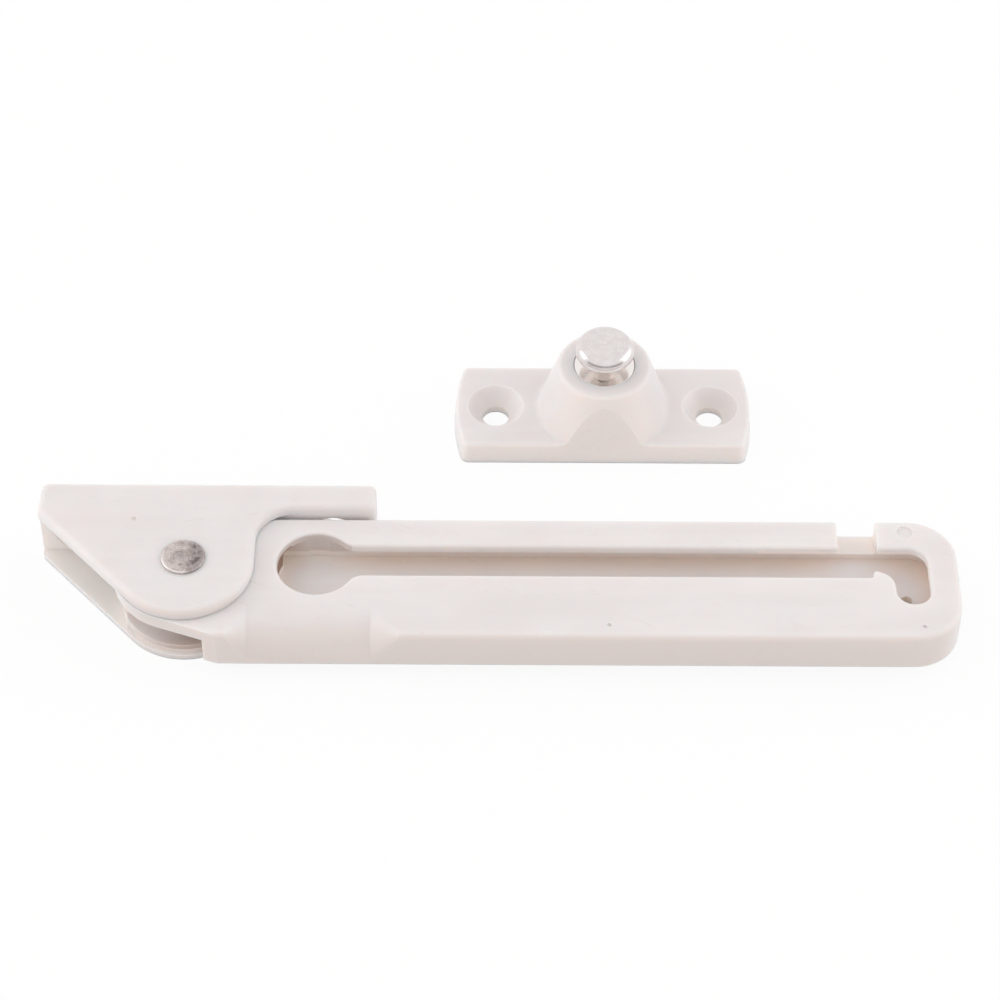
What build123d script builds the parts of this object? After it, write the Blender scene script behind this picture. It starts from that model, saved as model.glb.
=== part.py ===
from build123d import *

import math
import os

# A window stay as it comes out of its bag, in millimetres. The slotted arm swings on a rivet
# between the two cheeks of its bracket, and the keeper plate beside it carries the stud that
# runs in the arm's slot. X runs along the folded arm, Y towards the wall face of the bracket
# and Z up, with the bracket and the keeper plate lying on Z = 0. The origin is the middle of
# the set's footprint. Sketches on pivot_plane are measured from the rivet's axis, and those
# on keeper_plane from the stud's axis.

# Bracket
bracket_height = 12.5
bracket_left = 25.5
bracket_right = 31.8
wall_face = 16.9
wall_thickness = 5.3
left_end_depth = 6.4
left_end_slant = 0.4
cheek_radius = 11.7
cheek_thickness = 2.1
bracket_edge_radius = 1.0
throat_radius = 6.5
floor_thickness = 1.1
pad_radius = 10.9
pad_height = 2.7
bracket_corner_radius = 1.2
gate_mark_x = -8.9
gate_mark_y = 8.6
gate_mark_radius = 0.5
gate_mark_depth = 0.2

# Countersunk screw holes of the bracket's wall
bracket_screw_left = -19.0
bracket_screw_right = 24.5
bracket_screw_height = 5.4
bracket_screw_radius = 2.3
bracket_head_radius = 4.2
bracket_head_angle = 82.0

# Arm
arm_reach = 129.7
arm_front = 14.75
arm_far = 11.1
arm_play = 0.1
arm_end_radius = 8.0
arm_edge_radius = 1.0
tongue_radius = 11.9
tongue_thickness = 2.4
tongue_flank_x = 6.0
body_start_x = 3.7
hub_radius = 6.2
sweep_clearance = 0.3

# Slot, keyhole and channel of the arm
slot_width = 6.3
slot_centre = 1.7
slot_lip = 1.6
slot_end_wall = 5.0
slot_corner_radius = 3.3
rim_radius = 0.6
keyhole_x = 22.1
keyhole_y = 0.9
keyhole_radius = 6.6
keyhole_blend_radius = 2.8
channel_width = 11.0
channel_floor = 1.9
channel_lead = 5.9
pocket_radius = 2.85
pocket_depth = 5.7
tooth_setback = 9.25
tooth_rise = 1.5
tooth_root_radius = 0.8
tooth_tip_radius = 0.4
drain_radius = 1.0
drain_setback = 3.4
drain_y = -2.0

# Notch in the arm's far rail
notch_width = 6.7
notch_setback = 13.25
notch_depth = 4.2

# Rounded length of the front edge beside the keyhole, with a facet at each end
grip_start = 11.0
grip_end = 31.4
grip_radius = 7.2
left_facet_length = 4.0
right_facet_length = 5.6

# Small marks that the mould leaves on the arm's top
disc_mark_radius = 1.4
disc_mark_setback = 8.45
disc_mark_y = 8.4
disc_mark_depth = 0.3
dot_mark_radius = 0.4
dot_mark_setback = 6.7
dot_mark_y = -12.2
mid_dot_mark_x = 71.0

# Rivet
rivet_radius = 2.5
rivet_fit = 0.03
rivet_running_fit = 0.1
rivet_head_radius = 3.7
rivet_head_height = 0.4
rivet_head_edge_cut = 0.3
rivet_head_crown = 0.2
rivet_foot_radius = 3.6
rivet_foot_depth = 1.2
rivet_foot_recess = 0.15

# Keeper plate
keeper_x = 71.0
keeper_y = 43.25
keeper_depth = 19.8
keeper_length = 52.7
keeper_end_bow = 1.5
keeper_thickness = 4.2
keeper_corner_radius = 1.5
keeper_edge_radius = 0.6
keeper_draft = 5.0
keeper_screw_spacing = 38.0
keeper_screw_radius = 2.4
keeper_head_radius = 4.9
keeper_head_angle = 84.0
boss_base_radius = 11.6
boss_top_radius = 8.1
boss_height = 14.8
boss_rim_radius = 0.9
boss_foot_radius = 1.0

# Stud
stud_body_radius = 5.1
stud_body_recess = 0.1
stud_body_length = 8.6
stud_mouth_radius = 5.4
stud_mouth_depth = 1.5
stud_fit = 0.03
stud_shank_radius = 3.0
stud_foot_radius = 4.2
stud_foot_room = 0.3
stud_foot_recess = 0.3
stud_foot_height = 1.4
stud_neck_radius = 1.9
stud_neck_length = 3.6
stud_head_radius = 5.15
stud_head_thickness = 1.9
stud_head_edge_radius = 1.5
stud_head_crown = 0.25

# Heights and places that follow from the sizes above
gap_top = bracket_height - cheek_thickness
arm_bottom = pad_height + arm_play
arm_top = gap_top - arm_play
tongue_bottom = arm_top - tongue_thickness
wall_inner = wall_face - wall_thickness
channel_bottom = arm_bottom + channel_floor
lip_bottom = arm_top - slot_lip
slot_near = slot_centre - slot_width / 2
slot_far = slot_centre + slot_width / 2
slot_end = arm_reach - slot_end_wall
tooth_x = slot_end - tooth_setback
tooth_y = slot_near + tooth_rise
pocket_x = slot_end - pocket_radius
pocket_y = slot_near - pocket_depth + pocket_radius
stud_foot_top = stud_foot_recess + stud_foot_height
stud_body_top = boss_height - stud_body_recess
stud_body_bottom = stud_body_top - stud_body_length
stud_neck_top = stud_body_top + stud_neck_length
stud_top = stud_neck_top + stud_head_thickness
margin = 1.0
tolerance = 0.01

pivot_x = (bracket_left - arm_reach) / 2
pivot_y = (arm_front - keeper_y - keeper_depth / 2) / 2
pivot_plane = Plane((pivot_x, pivot_y, 0))
keeper_plane = Plane((pivot_x + keeper_x, pivot_y + keeper_y, 0))


def touch_angle(x, y, radius, side):
    """Angle at which a line from (x, y) touches a circle about the axis, in degrees."""
    spread = math.degrees(math.acos(radius / math.hypot(x, y)))
    return math.degrees(math.atan2(y, x)) + side * spread


def on_circle(radius, angle):
    """Point of a circle about the axis."""
    return (radius * math.cos(math.radians(angle)), radius * math.sin(math.radians(angle)))


os.makedirs("parts", exist_ok=True)


# Bracket: a thick wall along the window frame, with two cheeks that end in a round about the
# rivet. The lower cheek is thin apart from a round pad that carries the arm, so that the head
# of the left screw passes between the cheeks. The wall is relieved where the tongue sweeps.
cheek_touch = touch_angle(-bracket_left, wall_face - left_end_depth, cheek_radius, 1)
throat_x = cheek_radius + throat_radius
bracket_corners = (
    (-bracket_left, wall_face - left_end_depth),
    (left_end_slant - bracket_left, wall_face),
    (bracket_right, wall_face),
    (bracket_right, wall_inner),
)

with BuildPart() as bracket:
    with BuildSketch(pivot_plane) as bracket_outline:
        with BuildLine():
            Polyline(
                on_circle(cheek_radius, cheek_touch),
                *bracket_corners,
                (throat_x, wall_inner),
            )
            CenterArc((throat_x, wall_inner - throat_radius), throat_radius, 90, 90)
            Line((cheek_radius, wall_inner - throat_radius), (cheek_radius, 0))
            CenterArc((0, 0), cheek_radius, 0, cheek_touch - 360)
        make_face()
        for corner in bracket_corners:
            fillet(
                bracket_outline.vertices().sort_by_distance(corner)[0], bracket_corner_radius
            )
    extrude(amount=bracket_height)
    fillet(bracket.edges().group_by(Axis.Z)[-1], bracket_edge_radius)

    # The gap between the cheeks, with its relief for the tongue and its pad
    with BuildSketch(pivot_plane.offset(floor_thickness)):
        with Locations(((bracket_right - bracket_left) / 2, wall_inner)):
            Rectangle(
                bracket_left + bracket_right + 2 * margin,
                wall_inner + cheek_radius + margin,
                align=(Align.CENTER, Align.MAX),
            )
        Circle(tongue_radius + sweep_clearance)
    extrude(amount=gap_top - floor_thickness, mode=Mode.SUBTRACT)
    with BuildSketch(pivot_plane.offset(floor_thickness)):
        Circle(pad_radius)
    extrude(amount=pad_height - floor_thickness)

    # The rivet's hole, countersunk from below
    with BuildSketch(pivot_plane):
        Circle(rivet_radius + rivet_fit)
    extrude(amount=bracket_height, mode=Mode.SUBTRACT)
    with BuildSketch(pivot_plane.offset(rivet_foot_recess + rivet_foot_depth)):
        Circle(rivet_radius + rivet_fit)
    with BuildSketch(pivot_plane.offset(rivet_foot_recess)):
        Circle(rivet_foot_radius + rivet_fit)
    loft(mode=Mode.SUBTRACT)
    with BuildSketch(pivot_plane):
        Circle(rivet_foot_radius + rivet_fit)
    extrude(amount=rivet_foot_recess, mode=Mode.SUBTRACT)

    # The two screw holes through the wall, countersunk on the side of the arm
    with Locations(Plane((pivot_x, pivot_y + wall_inner, 0), x_dir=(1, 0, 0), z_dir=(0, -1, 0))):
        with Locations(
            (bracket_screw_left, bracket_screw_height),
            (bracket_screw_right, bracket_screw_height),
        ):
            CounterSinkHole(
                bracket_screw_radius, bracket_head_radius, wall_thickness, bracket_head_angle
            )

    with BuildSketch(pivot_plane.offset(bracket_height - gate_mark_depth)):
        with Locations((gate_mark_x, gate_mark_y)):
            Circle(gate_mark_radius)
    extrude(amount=gate_mark_depth, mode=Mode.SUBTRACT)

bracket.part.label = "bracket"
export_step(bracket.part, "parts/bracket.step")


# Arm: a bar with a T-shaped channel that is open through the slot in its top. The keyhole
# lets the stud's head in, and the pocket behind the tooth holds it at the far end. Beside the
# bracket the bar thins to a tongue, at full height only in the hub round the rivet.
flank_touch = touch_angle(tongue_flank_x, -arm_front, tongue_radius, -1)
far_meet = 180 - math.degrees(math.asin(arm_far / tongue_radius))
shoulder_radius = pocket_x - pocket_radius - tooth_x
far_junction_x = keyhole_x + math.sqrt(keyhole_radius**2 - (slot_far - keyhole_y) ** 2)
near_junction_x = keyhole_x + math.sqrt(keyhole_radius**2 - (slot_near - keyhole_y) ** 2)

with BuildPart() as stay_arm:
    with BuildSketch(pivot_plane.offset(arm_bottom)):
        with BuildLine():
            Line(on_circle(tongue_radius, far_meet), (arm_reach - arm_end_radius, arm_far))
            CenterArc(
                (arm_reach - arm_end_radius, arm_far - arm_end_radius), arm_end_radius, 90, -90
            )
            Line((arm_reach, arm_far - arm_end_radius), (arm_reach, arm_end_radius - arm_front))
            CenterArc(
                (arm_reach - arm_end_radius, arm_end_radius - arm_front), arm_end_radius, 0, -90
            )
            Polyline(
                (arm_reach - arm_end_radius, -arm_front),
                (tongue_flank_x, -arm_front),
                on_circle(tongue_radius, flank_touch),
            )
            CenterArc((0, 0), tongue_radius, flank_touch, far_meet - 360 - flank_touch)
        make_face()
    extrude(amount=arm_top - arm_bottom)

    bar_edges = stay_arm.edges().group_by(Axis.Z)[-1].filter_by(
        lambda e: e.center().X > pivot_x + tongue_radius
    )
    fillet(bar_edges, arm_edge_radius)

    with BuildSketch(pivot_plane.offset(arm_bottom)):
        with Locations((body_start_x, 0)):
            Rectangle(
                body_start_x + tongue_radius + margin,
                2 * arm_front + 2 * margin,
                align=(Align.MAX, Align.CENTER),
            )
        Circle(hub_radius, mode=Mode.SUBTRACT)
    extrude(amount=tongue_bottom - arm_bottom, mode=Mode.SUBTRACT)

    # Channel for the stud's head, which follows it into the pocket at the far end. It has
    # square corners where it starts under the rim of the keyhole.
    with BuildSketch(pivot_plane.offset(channel_bottom)):
        with Locations((keyhole_x - channel_lead, slot_centre)):
            Rectangle(
                pocket_x - keyhole_x + channel_lead,
                channel_width,
                align=(Align.MIN, Align.CENTER),
            )
        with Locations((pocket_x, slot_centre), (pocket_x, pocket_y)):
            Circle(channel_width / 2)
        with Locations((pocket_x, (slot_centre + pocket_y) / 2)):
            Rectangle(channel_width, slot_centre - pocket_y)
        with Locations((keyhole_x, keyhole_y)):
            Circle(keyhole_radius)
    extrude(amount=lip_bottom - channel_bottom, mode=Mode.SUBTRACT)

    # Mouth of the channel: slot, tooth, pocket and keyhole
    with BuildSketch(pivot_plane.offset(lip_bottom)) as mouth:
        with BuildLine():
            Polyline((keyhole_x, slot_near), (tooth_x, slot_near), (tooth_x, tooth_y))
            CenterArc((tooth_x, tooth_y - shoulder_radius), shoulder_radius, 90, -90)
            Line(
                (tooth_x + shoulder_radius, tooth_y - shoulder_radius),
                (pocket_x - pocket_radius, pocket_y),
            )
            ThreePointArc(
                (pocket_x - pocket_radius, pocket_y),
                (pocket_x, pocket_y - pocket_radius),
                (slot_end, pocket_y),
            )
            Polyline(
                (slot_end, pocket_y),
                (slot_end, slot_far),
                (keyhole_x, slot_far),
                (keyhole_x, slot_near),
            )
        make_face()
        fillet(mouth.vertices().sort_by_distance((slot_end, slot_far))[0], slot_corner_radius)
        fillet(mouth.vertices().sort_by_distance((tooth_x, slot_near))[0], tooth_root_radius)
        fillet(mouth.vertices().sort_by_distance((tooth_x, tooth_y))[0], tooth_tip_radius)
        with Locations((keyhole_x, keyhole_y)):
            Circle(keyhole_radius)
        for junction in ((far_junction_x, slot_far), (near_junction_x, slot_near)):
            fillet(mouth.vertices().sort_by_distance(junction)[0], keyhole_blend_radius)
    extrude(amount=slot_lip, mode=Mode.SUBTRACT)

    mouth_left = pivot_x + keyhole_x - keyhole_radius - tolerance
    mouth_right = pivot_x + slot_end + tolerance
    mouth_front = pivot_y + pocket_y - pocket_radius - tolerance
    rim_edges = stay_arm.edges().group_by(Axis.Z)[-1].filter_by(
        lambda e: e.bounding_box().min.X > mouth_left
        and e.bounding_box().max.X < mouth_right
        and e.bounding_box().min.Y > mouth_front
    )
    fillet(rim_edges, rim_radius)

    # Notch in the far rail
    with BuildSketch(pivot_plane.offset(arm_top - notch_depth)):
        with Locations((arm_reach - notch_setback, slot_centre)):
            Rectangle(notch_width, arm_far, align=(Align.MAX, Align.MIN))
    extrude(amount=notch_depth, mode=Mode.SUBTRACT)

    # Rounded grip, and the facets that bring it back to the full bar
    for face_x, length in ((grip_start, -left_facet_length), (grip_end, right_facet_length)):
        section_plane = Plane((pivot_x + face_x, pivot_y, 0), x_dir=(0, 1, 0), z_dir=(1, 0, 0))
        with BuildSketch(section_plane, mode=Mode.PRIVATE) as grip_section:
            with BuildLine():
                Polyline(
                    (grip_radius - arm_front, arm_top),
                    (-arm_front, arm_top),
                    (-arm_front, arm_top - grip_radius),
                )
                CenterArc(
                    (grip_radius - arm_front, arm_top - grip_radius), grip_radius, 180, -90
                )
            make_face()
        tip = Vertex(pivot_x + face_x + length, pivot_y - arm_front, arm_top)
        loft([grip_section.sketch.face(), tip], mode=Mode.SUBTRACT)
    extrude(grip_section.sketch.face(), amount=grip_start - grip_end, mode=Mode.SUBTRACT)

    # Rivet bore, drain hole and the marks of the mould
    with BuildSketch(pivot_plane.offset(arm_bottom)):
        Circle(rivet_radius + rivet_running_fit)
    extrude(amount=arm_top - arm_bottom, mode=Mode.SUBTRACT)
    with BuildSketch(pivot_plane.offset(arm_bottom)):
        with Locations((slot_end - drain_setback, drain_y)):
            Circle(drain_radius)
    extrude(amount=channel_floor, mode=Mode.SUBTRACT)
    with BuildSketch(pivot_plane.offset(arm_top - disc_mark_depth)):
        with Locations((arm_reach - disc_mark_setback, disc_mark_y)):
            Circle(disc_mark_radius)
        with Locations((arm_reach - dot_mark_setback, dot_mark_y), (mid_dot_mark_x, dot_mark_y)):
            Circle(dot_mark_radius)
    extrude(amount=disc_mark_depth, mode=Mode.SUBTRACT)

stay_arm.part.label = "stay_arm"
export_step(stay_arm.part, "parts/stay_arm.step")


# Rivet: headed over the top cheek, and spread into the countersink of the lower one
rivet_edge_top = bracket_height + rivet_head_height
rivet_crown_radius = rivet_head_radius - rivet_head_edge_cut

with BuildPart() as pivot_rivet:
    with BuildSketch(Plane((pivot_x, pivot_y, 0), x_dir=(1, 0, 0), z_dir=(0, -1, 0))):
        with BuildLine():
            Polyline(
                (0, rivet_edge_top + rivet_head_crown),
                (0, rivet_foot_recess),
                (rivet_foot_radius, rivet_foot_recess),
                (rivet_radius, rivet_foot_recess + rivet_foot_depth),
                (rivet_radius, bracket_height),
                (rivet_head_radius, bracket_height),
                (rivet_head_radius, rivet_edge_top - rivet_head_edge_cut),
                (rivet_crown_radius, rivet_edge_top),
            )
            TangentArc(
                (0, rivet_edge_top + rivet_head_crown),
                (rivet_crown_radius, rivet_edge_top),
                tangent=(1, 0),
            )
        make_face()
    revolve(axis=Axis((pivot_x, pivot_y, 0), (0, 0, 1)))

pivot_rivet.part.label = "pivot_rivet"
export_step(pivot_rivet.part, "parts/pivot_rivet.step")


# Keeper plate: bowed at its ends, with a conical boss that is cut flush with its long sides,
# which lean in a little for the mould
end_x = keeper_length / 2
corner_x = end_x - keeper_end_bow
corner_y = keeper_depth / 2
draft_slope = math.tan(math.radians(keeper_draft))

with BuildPart() as keeper_plate:
    with BuildSketch(keeper_plane) as plate_outline:
        with BuildLine():
            Line((-corner_x, -corner_y), (corner_x, -corner_y))
            ThreePointArc((corner_x, -corner_y), (end_x, 0), (corner_x, corner_y))
            Line((corner_x, corner_y), (-corner_x, corner_y))
            ThreePointArc((-corner_x, corner_y), (-end_x, 0), (-corner_x, -corner_y))
        make_face()
        fillet(plate_outline.vertices(), keeper_corner_radius)
    extrude(amount=keeper_thickness, taper=keeper_draft)
    fillet(keeper_plate.edges().group_by(Axis.Z)[-1], keeper_edge_radius)

    with BuildSketch(Plane(keeper_plane.origin, x_dir=(1, 0, 0), z_dir=(0, -1, 0))) as boss:
        with BuildLine():
            Polyline(
                (0, 0),
                (boss_base_radius + boss_foot_radius, 0),
                (boss_base_radius + boss_foot_radius, keeper_thickness),
                (boss_base_radius, keeper_thickness),
                (boss_top_radius, boss_height),
                (0, boss_height),
                close=True,
            )
        make_face()
        boss_foot = (boss_base_radius, keeper_thickness)
        boss_rim = (boss_top_radius, boss_height)
        fillet(boss.vertices().sort_by_distance(boss_foot)[0], boss_foot_radius)
        fillet(boss.vertices().sort_by_distance(boss_rim)[0], boss_rim_radius)
    revolve(axis=Axis(keeper_plane.origin, (0, 0, 1)))
    with BuildSketch(Plane(keeper_plane.origin, x_dir=(0, 1, 0), z_dir=(1, 0, 0))):
        with BuildLine():
            Polyline(
                (corner_y + margin * draft_slope, -margin),
                (corner_y + keeper_depth, -margin),
                (corner_y + keeper_depth, boss_height + margin),
                (corner_y - (boss_height + margin) * draft_slope, boss_height + margin),
                close=True,
            )
        make_face()
        mirror(about=Plane.YZ)
    extrude(amount=end_x, both=True, mode=Mode.SUBTRACT)

    with BuildSketch(keeper_plane):
        Circle(stud_shank_radius + stud_fit)
    extrude(amount=boss_height, mode=Mode.SUBTRACT)
    with BuildSketch(keeper_plane.offset(stud_body_bottom)):
        Circle(stud_body_radius + stud_fit)
    extrude(amount=boss_height - stud_body_bottom, mode=Mode.SUBTRACT)
    with BuildSketch(keeper_plane.offset(boss_height - stud_mouth_depth)):
        Circle(stud_mouth_radius)
    extrude(amount=stud_mouth_depth, mode=Mode.SUBTRACT)
    with BuildSketch(keeper_plane):
        Circle(stud_foot_radius + stud_foot_room)
    extrude(amount=stud_foot_top, mode=Mode.SUBTRACT)

    with Locations(keeper_plane.offset(keeper_thickness)):
        with Locations((-keeper_screw_spacing / 2, 0), (keeper_screw_spacing / 2, 0)):
            CounterSinkHole(
                keeper_screw_radius, keeper_head_radius, keeper_thickness, keeper_head_angle
            )

keeper_plate.part.label = "keeper_plate"
export_step(keeper_plate.part, "parts/keeper_plate.step")


# Stud: turned from bar, with a mushroom head on a thin neck, and riveted over underneath
stud_edge_top = stud_top - stud_head_crown
stud_crown_radius = stud_head_radius - stud_head_edge_radius

with BuildPart() as keeper_stud:
    with BuildSketch(Plane(keeper_plane.origin, x_dir=(1, 0, 0), z_dir=(0, -1, 0))):
        with BuildLine():
            Polyline(
                (0, stud_top),
                (0, stud_foot_recess),
                (stud_foot_radius, stud_foot_recess),
                (stud_foot_radius, stud_foot_top),
                (stud_shank_radius, stud_foot_top),
                (stud_shank_radius, stud_body_bottom),
                (stud_body_radius, stud_body_bottom),
                (stud_body_radius, stud_body_top),
                (stud_neck_radius, stud_body_top),
                (stud_neck_radius, stud_neck_top),
                (stud_head_radius, stud_neck_top),
                (stud_head_radius, stud_edge_top - stud_head_edge_radius),
            )
            CenterArc(
                (stud_crown_radius, stud_edge_top - stud_head_edge_radius),
                stud_head_edge_radius,
                0,
                90,
            )
            TangentArc(
                (0, stud_top),
                (stud_crown_radius, stud_edge_top),
                tangent=(1, 0),
            )
        make_face()
    revolve(axis=Axis(keeper_plane.origin, (0, 0, 1)))

keeper_stud.part.label = "keeper_stud"
export_step(keeper_stud.part, "parts/keeper_stud.step")
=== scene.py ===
import math

import bmesh
import bpy
from mathutils import Matrix, Vector, noise as perlin


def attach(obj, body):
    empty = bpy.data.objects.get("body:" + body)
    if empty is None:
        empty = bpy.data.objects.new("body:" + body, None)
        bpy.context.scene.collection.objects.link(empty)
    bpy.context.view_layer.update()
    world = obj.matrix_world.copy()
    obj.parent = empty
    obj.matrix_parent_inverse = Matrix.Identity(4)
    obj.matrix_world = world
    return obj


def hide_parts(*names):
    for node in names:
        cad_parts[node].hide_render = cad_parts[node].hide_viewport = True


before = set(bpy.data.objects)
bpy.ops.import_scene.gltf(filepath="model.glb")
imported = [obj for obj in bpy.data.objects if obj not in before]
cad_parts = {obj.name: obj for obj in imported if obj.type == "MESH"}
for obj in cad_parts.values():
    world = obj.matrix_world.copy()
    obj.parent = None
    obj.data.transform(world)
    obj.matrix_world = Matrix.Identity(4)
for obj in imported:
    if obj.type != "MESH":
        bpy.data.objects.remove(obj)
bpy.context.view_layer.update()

# Everything is in metres, in the frame of the solids: X along the folded arm, Y towards the
# wall face of the bracket, Z up. Places and sizes of patterns and of turned pieces are given in
# millimetres, and shades on the scale of 0 to 255.
MM = 0.001

# Axes of the rivet and the stud, and the middle of the gate's mark on the bracket
PIVOT = (-52.1, -19.2)
STUD = (18.9, 24.05)
GATE_MARK = (PIVOT[0] - 8.9, PIVOT[1] + 8.6)

# Heights of the tops
BRACKET_TOP = 12.5
ARM_TOP = 10.3
BOSS_TOP = 14.8


# Wiring of the node trees


def srgb(red, green, blue):
    """Linear colour, with alpha, of a colour given on the scale of 0 to 255."""
    linear = []
    for value in (red, green, blue):
        share = value / 255
        linear.append(share / 12.92 if share <= 0.04045 else ((share + 0.055) / 1.055) ** 2.4)
    return (*linear, 1.0)


def plug(tree, socket, value):
    """Links a socket to another one, or sets it to a plain value."""
    if isinstance(value, bpy.types.NodeSocket):
        tree.links.new(value, socket)
    else:
        socket.default_value = value


def add(tree, kind, inputs=None, **settings):
    """A new node with its settings made and its inputs filled, by name or by number."""
    made = tree.nodes.new(kind)
    for name, value in settings.items():
        setattr(made, name, value)
    for name, value in (inputs or {}).items():
        plug(tree, made.inputs[name], value)
    return made


def maths(tree, operation, first, second=0.0):
    """Result of one Math node."""
    return add(tree, "ShaderNodeMath", {0: first, 1: second}, operation=operation).outputs[0]


def times(tree, first, second):
    """Product of two values."""
    return maths(tree, "MULTIPLY", first, second)


def vector_maths(tree, operation, first, second=(0.0, 0.0, 0.0)):
    """Vector result of one Vector Math node."""
    made = add(tree, "ShaderNodeVectorMath", {0: first, 1: second}, operation=operation)
    return made.outputs[0]


def part_of(tree, vector, axis):
    """One of the three parts of a vector, by the name of its axis."""
    return add(tree, "ShaderNodeSeparateXYZ", {0: vector}).outputs[axis]


def ramp(tree, value, low, high, out_low=0.0, out_high=1.0):
    """Smooth step from out_low to out_high as a value goes from low to high."""
    limits = {0: value, 1: low, 2: high, 3: out_low, 4: out_high}
    made = add(tree, "ShaderNodeMapRange", limits, interpolation_type="SMOOTHSTEP")
    return made.outputs[0]


def fall(tree, value, low, high):
    """Smooth step from 1 down to 0 as a value goes from low to high."""
    return ramp(tree, value, low, high, 1.0, 0.0)


def mix_colour(tree, share, first, second):
    """Mix of two colours."""
    return add(tree, "ShaderNodeMix", {0: share, 6: first, 7: second}, data_type="RGBA").outputs[2]


def tinted(tree, colour, share, shade):
    """A colour that a share of a shade is mixed into."""
    return mix_colour(tree, share, colour, srgb(*shade))


def noise(tree, point, scale, detail=2.0, roughness=0.5, distortion=0.0):
    """Fine noise from 0 to 1, with its scale in features per millimetre."""
    inputs = {
        "Vector": point,
        "Scale": scale,
        "Detail": detail,
        "Roughness": roughness,
        "Distortion": distortion,
    }
    return add(tree, "ShaderNodeTexNoise", inputs).outputs[0]


def millimetres(tree, centre=(0.0, 0.0, 0.0)):
    """The surface's own point in millimetres, measured from a centre."""
    coordinates = add(tree, "ShaderNodeTexCoord").outputs["Object"]
    scaled = add(tree, "ShaderNodeVectorMath", {0: coordinates, 3: 1 / MM}, operation="SCALE")
    return vector_maths(tree, "SUBTRACT", scaled.outputs[0], centre)


def within(tree, box, softness):
    """Mask of a box of the frame, given as its low and high corners, that fades at its sides."""
    parts = add(tree, "ShaderNodeSeparateXYZ", {0: millimetres(tree)}).outputs
    inside = 1.0
    for axis, low, high in zip("XYZ", *box):
        past_low = ramp(tree, parts[axis], low, low + softness)
        before_high = fall(tree, parts[axis], high - softness, high)
        inside = times(tree, times(tree, past_low, before_high), inside)
    return inside


def new_group(name, inputs, outputs):
    """An empty node group with its sockets. Returns the tree, its inputs and its end node."""
    tree = bpy.data.node_groups.new(name, "ShaderNodeTree")
    for label, kind, value in inputs:
        socket = tree.interface.new_socket(label, in_out="INPUT", socket_type=kind)
        if value is not None:
            socket.default_value = value
    for label in outputs:
        tree.interface.new_socket(label, in_out="OUTPUT", socket_type="NodeSocketFloat")
    start = tree.nodes.new("NodeGroupInput")
    end = tree.nodes.new("NodeGroupOutput")
    return tree, start.outputs, end.inputs


def use(tree, group, **inputs):
    """Outputs of a node group placed in a tree with its own values."""
    made = tree.nodes.new("ShaderNodeGroup")
    made.node_tree = group
    for name, value in inputs.items():
        plug(tree, made.inputs[name.replace("_", " ").capitalize()], value)
    return made.outputs


# Effects that several materials share


def make_scratch_group():
    """Fine straight scratches, all in one direction, broken up along their length."""
    tree, given, result = new_group(
        "Fine scratches",
        [
            ("Point", "NodeSocketVector", None),
            ("Turn", "NodeSocketFloat", 0.0),
            ("Closeness", "NodeSocketFloat", 3.0),
            ("Rarity", "NodeSocketFloat", 0.62),
        ],
        ["Mask"],
    )
    turned = add(
        tree,
        "ShaderNodeVectorRotate",
        {"Vector": given["Point"], "Angle": given["Turn"]},
        rotation_type="Z_AXIS",
    ).outputs[0]
    drawn_out = vector_maths(tree, "MULTIPLY", turned, (0.05, 1.0, 1.0))
    lines = noise(tree, drawn_out, given["Closeness"], 1.0, 0.6, 0.15)
    breaks = noise(tree, turned, 0.35, 1.0)
    on_line = ramp(tree, lines, given["Rarity"], maths(tree, "ADD", given["Rarity"], 0.03))
    plug(tree, result["Mask"], times(tree, on_line, ramp(tree, breaks, 0.5, 0.62)))
    return tree


def make_moulding_group():
    """What the mould leaves on a satin plastic: cloudy shade, faint flow, grain and specks."""
    tree, given, result = new_group(
        "Moulded surface",
        [("Point", "NodeSocketVector", None), ("Grain size", "NodeSocketFloat", 5.0)],
        ["Shade", "Gloss", "Height", "Specks"],
    )
    point = given["Point"]
    clouds = noise(tree, point, 0.07, 3.0)
    flow = noise(tree, vector_maths(tree, "MULTIPLY", point, (0.03, 0.3, 0.3)), 1.0)
    shade = maths(tree, "ADD", times(tree, clouds, 0.6), times(tree, flow, 0.4))
    plug(tree, result["Shade"], ramp(tree, shade, 0.35, 0.65))
    plug(tree, result["Gloss"], ramp(tree, noise(tree, point, 0.8, 4.0, 0.6), 0.3, 0.7))
    grain = noise(tree, point, given["Grain size"], 2.0, 0.6)
    sink = times(tree, noise(tree, point, 0.12, 1.0), 3.0)
    plug(tree, result["Height"], maths(tree, "ADD", grain, sink))
    cells = add(tree, "ShaderNodeTexVoronoi", {"Vector": point, "Scale": 0.45}, feature="F1")
    chosen = ramp(tree, cells.outputs["Color"], 0.72, 0.74)
    near = fall(tree, cells.outputs["Distance"], 0.03, 0.05)
    plug(tree, result["Specks"], times(tree, near, chosen))
    return tree


def make_edge_wear_and_highlight_group():
    """Mask of the edges, for their wear and a painted highlight along them: how far the rounded
    normal leans away from the real one.
    """
    tree, given, result = new_group(
        "Edge wear and painted highlight",
        [("Point", "NodeSocketVector", None), ("Reach", "NodeSocketFloat", 0.4 * MM)],
        ["Mask"],
    )
    rounded = add(tree, "ShaderNodeBevel", {"Radius": given["Reach"]}, samples=4).outputs[0]
    real = add(tree, "ShaderNodeNewGeometry").outputs["Normal"]
    lean = add(tree, "ShaderNodeVectorMath", {0: rounded, 1: real}, operation="DOT_PRODUCT")
    edge = fall(tree, lean.outputs["Value"], 0.86, 0.995)
    patchy = ramp(tree, noise(tree, given["Point"], 0.5, 3.0), 0.3, 0.6, 0.35, 1.0)
    plug(tree, result["Mask"], times(tree, edge, patchy))
    return tree


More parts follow.
